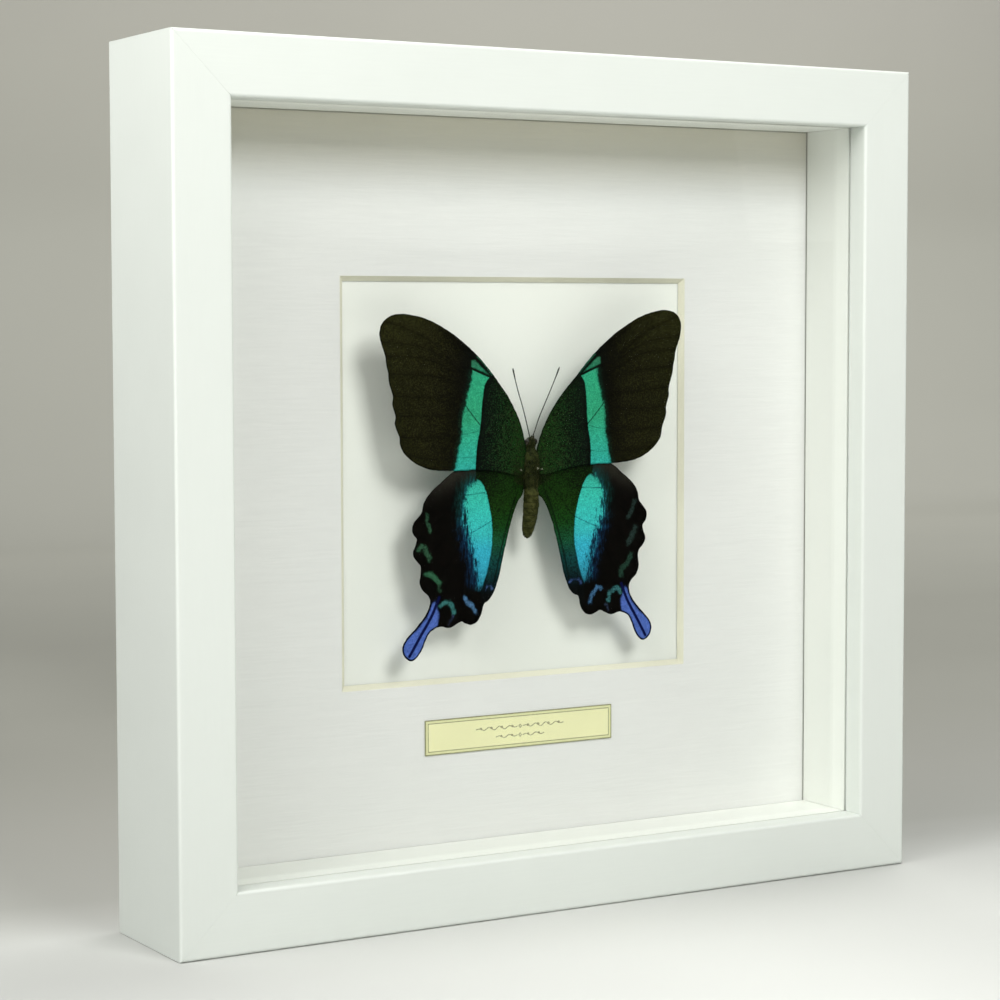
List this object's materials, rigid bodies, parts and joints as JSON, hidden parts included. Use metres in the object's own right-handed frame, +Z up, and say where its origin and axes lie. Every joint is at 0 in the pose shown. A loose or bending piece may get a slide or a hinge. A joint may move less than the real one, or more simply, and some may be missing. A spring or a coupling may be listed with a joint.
{
  "type": "framed butterfly specimen",
  "caption": "Deep square white box frame with glass, a bevelled mat window and a spread swallowtail butterfly that stands clear of a white backing, above a small label card.",
  "frame": {"origin": "centre of the bottom face, where the frame stands", "axes": "+Z up, front of the frame towards -Y, X across its width"},
  "size_m": [0.25, 0.043, 0.25],
  "materials": {
    "lacquer": "smooth white satin lacquer on wood",
    "fillet": "white painted wood, matt",
    "glass": "clear flat glass",
    "mat_card": "laid white card with a cream core",
    "label_paper": "pale yellow paper with a double border",
    "board": "plain matt white board",
    "hardboard": "brown hardboard",
    "steel": "plain sheet steel",
    "body": "short dark olive-brown hair",
    "forewing": "scaled wing, black with an emerald band",
    "hindwing": "scaled wing, black with a turquoise band and blue tail",
    "antenna": "dark horn",
    "foam": "white foam"
  },
  "bodies": {
    "root": {"rail_bottom": "lacquer", "rail_left": "lacquer", "rail_top": "lacquer", "rail_right": "lacquer", "spacer_bottom": "fillet", "spacer_left": "fillet", "spacer_top": "fillet", "spacer_right": "fillet", "glass_pane": "glass", "mat": "mat_card", "label": "label_paper", "backing_board": "board", "back_panel": "hardboard", "tab_left": "steel", "tab_top": "steel", "tab_right": "steel", "tab_bottom": "steel", "hanger": "steel", "butterfly_body": "body", "forewing_left": "forewing", "forewing_right": "forewing", "hindwing_left": "hindwing", "hindwing_right": "hindwing", "antenna_left": "antenna", "antenna_right": "antenna", "specimen_block": "foam"}
  },
  "joints": []
}
